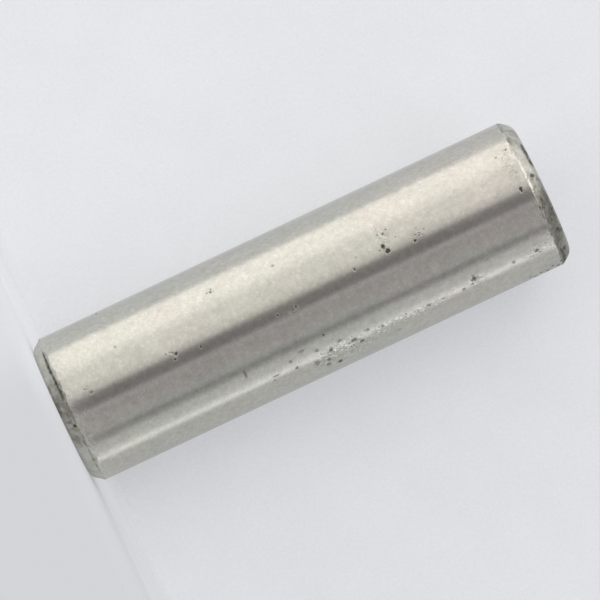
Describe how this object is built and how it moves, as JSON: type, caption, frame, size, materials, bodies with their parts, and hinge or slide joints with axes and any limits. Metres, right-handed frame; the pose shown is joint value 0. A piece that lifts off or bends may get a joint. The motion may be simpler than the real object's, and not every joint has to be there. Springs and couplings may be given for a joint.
{
  "type": "piston pin",
  "caption": "Hollow cylindrical piston pin of ground steel, with a plain through bore and a bevelled edge at each end; the pivot between a piston and its connecting rod.",
  "frame": {"origin": "middle of the lower end face, on the pin's axis, where the pin stands on its end", "axes": "+Z along the pin's axis, up from the lower end to the upper end; the pin is round, so X and Y are free, and -Y faces the side with the corrosion pits"},
  "size_m": [0.02, 0.02, 0.068],
  "materials": {
    "ground_steel": "hardened steel, ground and polished, with fine wear, a few small corrosion pits and duller turned bevels"
  },
  "bodies": {
    "root": {"piston_pin": "ground_steel"}
  },
  "joints": []
}
